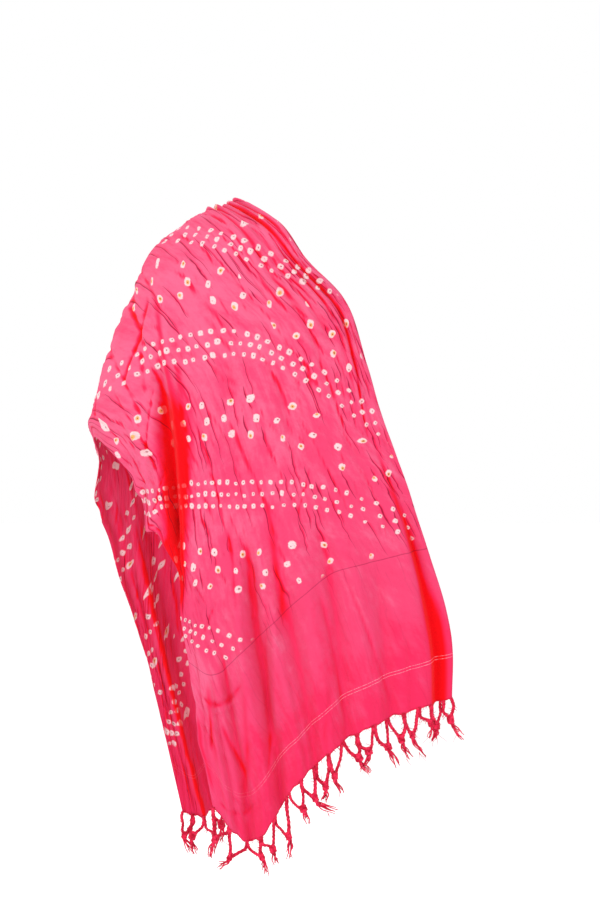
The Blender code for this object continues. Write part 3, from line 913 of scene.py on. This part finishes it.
def falls():
    """The mesh's steps along the cloth, closer on the front."""
    even = np.linspace(-HEM_REACH, BACK_END + HEM_REACH, 2000)
    weight = np.where(even < BACK_FROM, 1.0, 1.0 / BACK_COARSENESS)
    reached = np.cumsum(weight) - weight[0]
    return np.interp(np.linspace(0, reached[-1], ALONG_STEPS + 1), reached, even)


def scalloped(across, fall):
    """The ends of the cloth, drawn up a little between the tassels."""
    tassel_number = TASSELS * np.clip(across, 0, 1) ** (1 / TASSEL_CROWDING)
    drawn = 0.0014 * (1 - np.cos(2 * math.pi * tassel_number)) / 2
    drawn = drawn + 0.0009 * np.sin(71 * across) + 0.0006 * np.sin(163 * across + 1)
    front = ramp(1 - (fall + HEM_REACH) / 0.016) * drawn
    back = ramp(1 - (BACK_END + HEM_REACH - fall) / 0.016) * drawn
    return fall + front - back


def shown_object(name, mesh, material, smooth=True):
    """An object made of a mesh, put in the scene."""
    mesh.polygons.foreach_set("use_smooth", [smooth] * len(mesh.polygons))
    mesh.materials.append(material)
    made = bpy.data.objects.new(name, mesh)
    bpy.context.scene.collection.objects.link(made)
    return made


def mesh_of(form, name):
    """The mesh of a finished bmesh."""
    mesh = bpy.data.meshes.new(name)
    form.to_mesh(mesh)
    form.free()
    return mesh


def build_cloth(material):
    """The cloth, with the lines of points along it and their places across for the fringe."""
    across_line = np.linspace(0, 1, ACROSS_STEPS + 1)
    fall_line = falls()
    fall, across = np.meshgrid(fall_line, across_line, indexing="ij")
    shape = fall.shape
    fall, across = fall.ravel(), across.ravel()
    fall = scalloped(across, fall)
    outward = outward_from(across, fall)
    bare = hung(across, fall)
    pattern_over, pattern_up = pattern(across, fall)
    over_and_up = (pattern_over.reshape(shape), pattern_up.reshape(shape))
    layout = (bare.reshape(*shape, 3), across_line, fall_line, *over_and_up)
    worths = {"measure": measure(*layout, 1.5), "wide_measure": measure(*layout, 9.0)}
    with_dots = dotted(across, fall)
    height = large_folds(across, fall) + folds_of(CREASES, across, fall)
    height = height + slants_of(SLANTS, across, fall) + crinkles(across, fall)
    height = height + puckers(pattern_over, pattern_up, worths["wide_measure"]) * with_dots
    middle = bare + outward * height[:, None]
    grid = middle.reshape(*shape, 3)
    normal = units(np.cross(np.gradient(grid, axis=0), np.gradient(grid, axis=1))).reshape(-1, 3)

    # the faces of both sides, and the rim that joins them
    count = len(middle)
    width = shape[1]
    points = np.concatenate([middle + normal * THICKNESS / 2, middle - normal * THICKNESS / 2])
    a = (np.arange(shape[0] - 1)[:, None] * width + np.arange(width - 1)[None, :]).ravel()
    outer = np.stack([a + width, a + width + 1, a + 1, a], axis=1)
    inner = np.stack([a, a + 1, a + width + 1, a + width], axis=1) + count
    rim = list(range(width - 1)) + list(range(width - 1, count - 1, width))
    rim += list(range(count - 1, count - width, -1)) + list(range(count - width, 0, -width))
    rim = np.array(rim)
    following = np.roll(rim, -1)
    side = np.stack([rim + count, rim, following, following + count], axis=1)
    faces = np.concatenate([outer, inner, side])

    mesh = bpy.data.meshes.new("stole_cloth")
    mesh.from_pydata(points.tolist(), [], faces.tolist())
    mesh.validate()
    maps = {
        "UVMap": (across, fall),
        "rows": (pattern_over, pattern_up),
        "rings": ring_cells(pattern_over, pattern_up),
    }
    corner = np.empty(len(mesh.loops), dtype=np.int64)
    mesh.loops.foreach_get("vertex_index", corner)
    for name, (x, y) in maps.items():
        layer = mesh.uv_layers.new(name=name)
        pair = np.stack([np.tile(x, 2)[corner], np.tile(y, 2)[corner]], axis=1)
        layer.data.foreach_set("uv", pair.astype(np.float32).ravel())
    # painted shade: how deep each place lies in the folds, weighted along the fall, with the shade tables
    # added
    deep = hollows(height.reshape(shape)).ravel() * np.interp(fall, HOLLOW_SHADE_AT, HOLLOW_SHADE)
    shades = folds_of(SHADES, across, fall, HUNDREDTHS)
    deep += shades + slants_of(SLANT_SHADES, across, fall, HUNDREDTHS)
    # painted highlight: the arm side's lower front corner is made paler, standing in for light falling on
    # it
    painted_highlight_corner = 0.28 * ramp((across - 0.80) / 0.12) * ramp((0.34 - fall) / 0.10)
    values = {
        "dotted": with_dots,
        "crinkled": 0.10 + 0.90 * ramp((fall - 0.19) / 0.12),
        "painted_fold_shade": np.clip(deep, 0, 1),
        "tone": np.interp(fall, TONE_AT, TONE) + painted_highlight_corner,
    }
    for name, value in values.items():
        layer = mesh.attributes.new(name, "FLOAT", "POINT")
        # the inner face gets more painted shade than the outer face
        within = np.clip(value + UNDERSIDE_SHADE, 0, 1) if name == "painted_fold_shade" else value
        layer.data.foreach_set("value", np.concatenate([value, within]).astype(np.float32))
    for name, worth in worths.items():
        layer = mesh.attributes.new(name, "FLOAT_VECTOR", "POINT")
        layer.data.foreach_set("vector", np.tile(worth.T, (2, 1)).astype(np.float32).ravel())
    return shown_object("stole_cloth", mesh, material), grid, across_line


# ---- the fringe


def unit(vector):
    """One vector at length 1; units() does the same for many."""
    return vector / np.linalg.norm(vector)


def tube(form, path, radius, sides, taper=None):
    """A rod along a path; taper gives a share of the radius at each point."""
    path = np.asarray(path)
    ahead = np.gradient(path, axis=0)
    ahead /= np.linalg.norm(ahead, axis=1)[:, None] + 1e-12
    frame_side = np.cross(ahead[0], (0.0, 1.0, 0.0))
    if np.linalg.norm(frame_side) < 0.1:
        frame_side = np.cross(ahead[0], (1.0, 0.0, 0.0))
    rings = []
    for i, point in enumerate(path):
        frame_side = unit(frame_side - ahead[i] * np.dot(frame_side, ahead[i]))
        other = np.cross(ahead[i], frame_side)
        size = radius * (1.0 if taper is None else taper[i])
        ring = []
        for k in range(sides):
            angle = 2 * math.pi * k / sides
            out = math.cos(angle) * frame_side + math.sin(angle) * other
            ring.append(form.verts.new(point + size * out))
        rings.append(ring)
    for ring, after in zip(rings, rings[1:]):
        for k in range(sides):
            n = (k + 1) % sides
            form.faces.new((ring[k], ring[n], after[n], after[k]))
    form.faces.new(rings[0][::-1])
    form.faces.new(rings[-1])


def bezier(points, count):
    """A curve from the first point to the last, drawn towards the two between."""
    a, b, c, d = (np.asarray(point, float) for point in points)
    t = np.linspace(0, 1, count)[:, None]
    return a * (1 - t) ** 3 + 3 * b * t * (1 - t) ** 2 + 3 * c * t**2 * (1 - t) + d * t**3


def around(path, radius, turns, phase):
    """A helix round a path."""
    ahead = units(np.gradient(path, axis=0))
    side = units(np.cross(ahead, (0.0, 1.0, 0.0)))
    other = np.cross(ahead, side)
    angle = phase + np.linspace(0, turns * 2 * math.pi, len(path))
    return path + radius * (np.cos(angle)[:, None] * side + np.sin(angle)[:, None] * other)


def cord(form, path, turns, fullness=1.0):
    """A twisted cord of a few plies."""
    taper = 0.9 + 0.1 * np.sin(np.linspace(0, 9, len(path)))
    for ply in range(PLIES):
        strand = around(path, PLY_RADIUS * 0.95 * fullness, turns, 2 * math.pi * ply / PLIES)
        tube(form, strand, PLY_RADIUS * fullness, 6, taper)


def tassel(form, roots, lean, rng):
    """Two twisted legs that meet in a knot, and the frayed ends below it."""
    plumb = np.array([0.0, 0.0, -1.0])
    along = unit(roots[1] - roots[0])
    down = plumb + FRINGE_SWING * lean + along * rng.normal(0, 0.34)
    down = unit(down + np.array([0, rng.normal(0, 0.12), 0]))
    middle = (roots[0] + roots[1]) / 2
    middle[2] = (middle[2] + min(roots[0][2], roots[1][2])) / 2
    knot = middle + down * LEG_DROP * rng.uniform(0.72, 1.12)
    for sign, root in zip((-1, 1), roots):
        out = sign * along * rng.uniform(-0.001, 0.006)
        bowed = root + plumb * LEG_DROP * rng.uniform(0.30, 0.60) + out
        bowed = bowed + np.array([0, rng.normal(0, 0.003), 0])
        into = knot - down * rng.uniform(0.004, 0.012) + sign * along * rng.uniform(0.003, 0.009)
        path = bezier((root, bowed, into, knot + down * 0.001), LEG_POINTS)
        wave = np.sin(np.linspace(0, rng.uniform(5, 10), LEG_POINTS) + rng.uniform(0, 6))
        wave = wave * np.sin(np.linspace(0, math.pi, LEG_POINTS))
        path = path + wave[:, None] * along * rng.uniform(0.0006, 0.0022)
        cord(form, path, rng.uniform(2.0, 3.0), rng.uniform(0.82, 1.18))
        for _ in range(LEG_HAIRS):
            start = path[rng.integers(2, LEG_POINTS - 1)] + rng.normal(0, 0.0014, 3)
            way = unit(rng.normal(0, 1, 3) * (1.0, 0.45, 1.0) + plumb * 0.8)
            end = start + way * rng.uniform(0.004, 0.008)
            tube(form, bezier((start, start + way * 0.002, start + way * 0.004, end), 4), 0.00032, 4)
    # the knot: a few turns round the cords
    side = unit(np.cross(down, (0.0, 1.0, 0.0)))
    other = np.cross(down, side)
    size = rng.uniform(1.02, 1.42)
    for turn in range(KNOT_TURNS):
        tilted = other + rng.normal(0, 0.5) * down
        centre = knot + down * (-0.0034 + 0.0032 * turn)
        angles = np.linspace(0, 2 * math.pi * 0.96, KNOT_POINTS) + rng.uniform(0, 6)
        loop = []
        for i, angle in enumerate(angles):
            out = size * 0.0029 * (math.cos(angle) * side + math.sin(angle) * tilted)
            loop.append(centre + out + down * 0.0008 * i / (KNOT_POINTS - 1))
        tube(form, loop, 0.0018 * size, 7)
    core = [knot + down * d for d in (-0.006, -0.003, 0.003, 0.007)]
    tube(form, core, 0.0038 * size, 9, (0.5, 0.95, 0.95, 0.55))
    # the loose tail: frayed strands, and a few wild threads
    tail = unit(down + along * rng.normal(0, 0.25) + np.array([0, rng.normal(0, 0.08), 0]))
    reach = TAIL_LENGTH * rng.uniform(0.65, 1.12)
    curl = rng.normal(0, 0.30) * side + rng.normal(0, 0.12) * other
    for i in range(TAIL_STRANDS):
        apart = 0.0026 * (math.cos(i * 0.9) * side + math.sin(i * 0.9) * other) * rng.uniform(0.4, 1.4)
        share = rng.uniform(0.66, 1.08)
        bowed = knot + tail * reach * 0.6 * share + apart * 1.5 + curl * reach * 0.2
        end = knot + tail * reach * share + curl * reach + apart * 1.5
        start = knot + down * 0.003
        path = bezier((start, knot + down * 0.010 + apart * 1.1, bowed, end), TAIL_POINTS)
        path = around(path, 0.0011, rng.uniform(0.7, 1.6), rng.uniform(0, 6))
        thick = 0.0014 * rng.uniform(0.75, 1.2)
        tube(form, path, thick, 5, np.linspace(1.15, 0.42, TAIL_POINTS))
    for _ in range(5):
        wild = tail + np.array([rng.normal(0, 0.5), rng.normal(0, 0.2), rng.normal(0, 0.25)])
        start = knot + tail * reach * rng.uniform(-0.1, 0.9) + curl * reach * 0.4
        path = bezier((start, start + tail * 0.004, start + wild * 0.007, start + wild * 0.013), 6)
        tube(form, path, 0.00034, 4, np.linspace(1, 0.4, 6))


def build_fringe(name, seed, outward, edge, inside, across_line, material):
    """An end's tassels; `edge` is the cloth's last line of points there, `inside` the one before."""
    rng = np.random.default_rng(seed)
    form = bmesh.new()
    over = np.array([0.0, float(outward), 0.0])

    def on_edge(place, deeper=0.0):
        point = np.array([np.interp(place, across_line, edge[:, k]) for k in range(3)])
        within = np.array([np.interp(place, across_line, inside[:, k]) for k in range(3)])
        return point + unit(within - point) * deeper

    for i in range(TASSELS):
        low, high = ((number / TASSELS) ** TASSEL_CROWDING for number in (i, i + 1))
        inset = (high - low) * rng.uniform(-0.02, 0.12, 2)
        places = (max(low + inset[0], 0.003), min(high - inset[1], 0.997))
        roots = [on_edge(place, 0.001) for place in places]
        tassel(form, roots, unit(np.cross(roots[1] - roots[0], over) * outward), rng)
    # the bundled warp ends along the hem, and a few loose threads
    places = np.linspace(0.004, 0.996, HEM_POINTS)
    line = np.array([on_edge(place, 0.0004) for place in places])
    for phase in (0.0, math.pi):
        angle = np.linspace(0, 2 * math.pi * HEM_TURNS, HEM_POINTS) + phase
        twist = np.stack([np.zeros(HEM_POINTS), np.cos(angle), np.sin(angle)], axis=1) * 0.0005
        tube(form, line + twist, 0.00062, 5)
    for _ in range(LOOSE_THREADS):
        place = rng.uniform(0.01, 0.99)
        start = on_edge(place, 0.001)
        way = unit(np.array([rng.normal(0.1, 0.35), rng.normal(0, 0.25), -1.0]))
        end = start + way * rng.uniform(0.005, 0.010) + np.array([rng.normal(0, 0.0015), 0, 0])
        path = bezier((start, start + way * 0.002, start + way * 0.005, end), 5)
        tube(form, path, 0.00026, 4, np.linspace(1, 0.5, 5))
    bmesh.ops.recalc_face_normals(form, faces=form.faces)
    return shown_object(name, mesh_of(form, name), material)


# ---- the scene

FLOOR_Z = -1.42
FLOOR_RADIUS = 30.0
FLOOR_GREY = (0.90, 0.90, 0.90, 1)
FLOOR_PALE = (0.93, 0.93, 0.93, 1)
CAMERA_AT = (0.154, -3.6, -0.362)
VIEW_HEIGHT = 1.38446  # at the plane of the shoulder
SENSOR = 24.0


def pale_floor():
    t = Tree("pale_floor")
    material = t.surface({
        "Base Color": t.mix(t.noise(t.on_object(), 3, 2), FLOOR_GREY, FLOOR_PALE),
        "Roughness": 0.9, "Specular IOR Level": 0.1,
        "Emission Color": (1, 1, 1, 1), "Emission Strength": 0.12,
    })
    form = bmesh.new()
    bmesh.ops.create_circle(form, cap_ends=True, segments=64, radius=FLOOR_RADIUS)
    bmesh.ops.translate(form, verts=form.verts, vec=(0, 0, FLOOR_Z))
    floor = shown_object("floor", mesh_of(form, "floor"), material, smooth=False)


def area_light(name, at, target, size, energy):
    lamp = bpy.data.lights.new(name, "AREA")
    lamp.shape = "RECTANGLE"
    lamp.size = size
    lamp.size_y = size
    lamp.energy = energy
    made = bpy.data.objects.new(name, lamp)
    made.location = at
    way = np.array(target) - np.array(at)
    made.rotation_euler = (
        math.atan2(math.hypot(way[0], way[1]), -way[2]),
        0.0,
        math.atan2(way[0], -way[1]) + math.pi,
    )
    bpy.context.scene.collection.objects.link(made)


def stage():
    pale_floor()
    world = bpy.data.worlds.new("studio")
    world.use_nodes = True
    background = world.node_tree.nodes["Background"]
    background.inputs["Color"].default_value = (1, 1, 1, 1)
    background.inputs["Strength"].default_value = 1.0
    bpy.context.scene.world = world
    area_light("key", (-1.9, -2.3, 2.2), (0.1, 0.0, -0.45), 1.2, 52)
    area_light("fill", (1.6, -3.4, 0.2), (0.1, 0.0, -0.5), 2.0, 20)
    area_light("back", (1.0, 3.0, 1.6), (0.1, 0.0, -0.45), 1.8, 62)
    camera = bpy.data.cameras.new("camera")
    camera.sensor_fit = "VERTICAL"
    camera.sensor_height = SENSOR
    camera.lens = SENSOR * -CAMERA_AT[1] / VIEW_HEIGHT
    made = bpy.data.objects.new("camera", camera)
    made.location = CAMERA_AT
    made.rotation_euler = (math.pi / 2, 0, 0)
    bpy.context.scene.collection.objects.link(made)
    bpy.context.scene.camera = made
    bpy.context.scene.view_settings.view_transform = "Standard"


def main():
    yarn = yarn_material()
    cloth, grid, across_line = build_cloth(cloth_material())
    front = build_fringe("front_tassels", FRONT_SEED, -1, grid[0], grid[1], across_line, yarn)
    back = build_fringe("back_tassels", BACK_SEED, 1, grid[-1], grid[-2], across_line, yarn)
    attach(cloth, "root")
    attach(front, "root")
    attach(back, "root")
    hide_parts("front_fall", "shoulder_drape", "back_fall")
    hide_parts("front_fringe")
    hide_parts("back_fringe")
    stage()


main()
